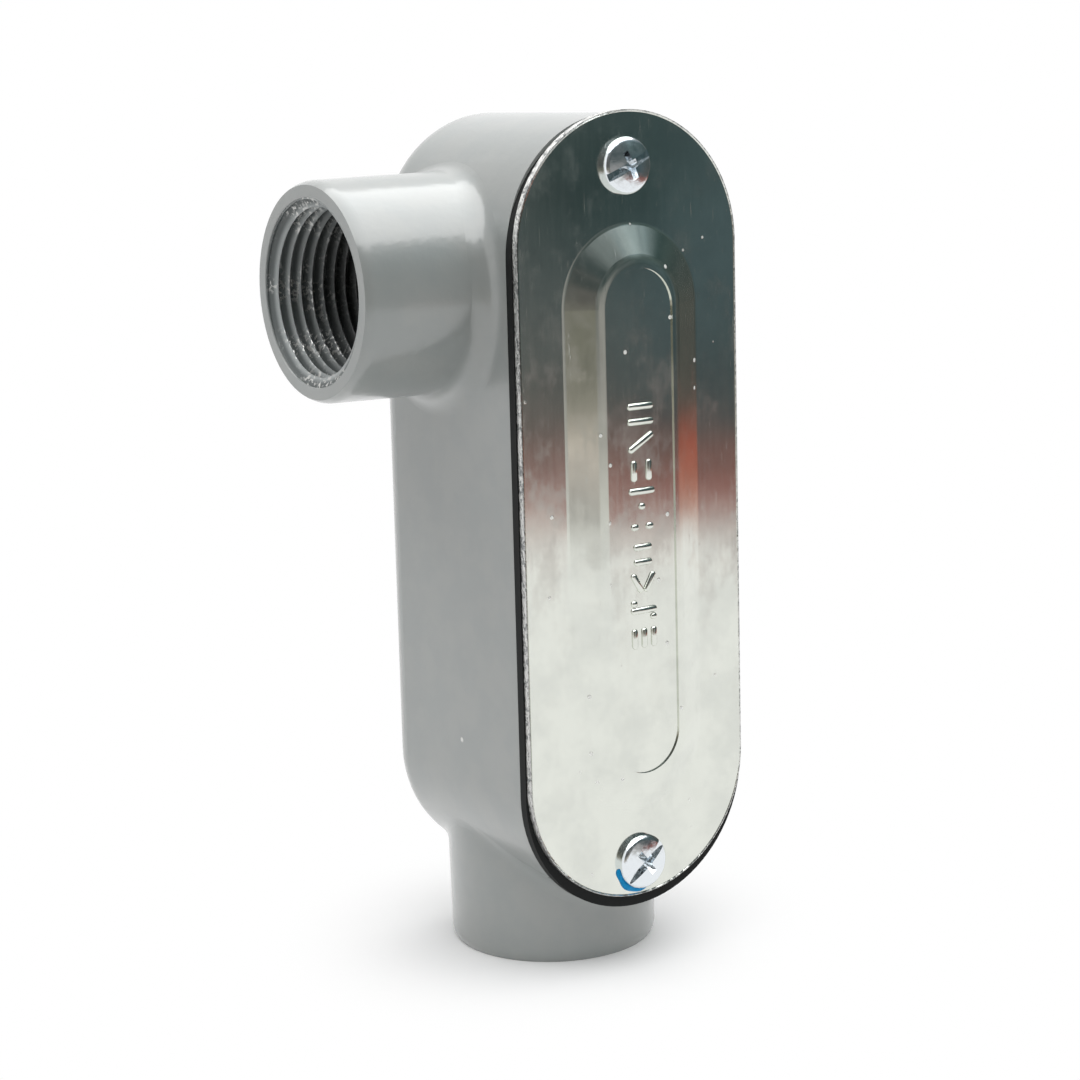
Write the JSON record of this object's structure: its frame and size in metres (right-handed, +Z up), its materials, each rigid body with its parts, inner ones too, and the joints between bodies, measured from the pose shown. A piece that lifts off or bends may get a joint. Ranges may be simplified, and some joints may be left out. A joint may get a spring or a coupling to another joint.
{
  "type": "conduit body",
  "caption": "Cast LL-pattern conduit body with threaded hubs at its foot and left side, a rubber gasket and a stamped steel cover held by pan head screws.",
  "frame": {"origin": "centre of the run hub's end face, on which the fitting stands", "axes": "+Z up the run hub's axis towards the closed end, -Y out through the cover, -X out of the side hub"},
  "size_m": [0.0586, 0.0415, 0.1256],
  "materials": {
    "body_enamel": "gloss",
    "gasket_rubber": "matte",
    "cover_steel": "bright",
    "screw_zinc": "bright zinc"
  },
  "bodies": {
    "root": {"body": "body_enamel", "gasket": "gasket_rubber", "cover": "cover_steel", "cover_screw_top": "screw_zinc", "cover_screw_bottom": "screw_zinc"}
  },
  "joints": []
}
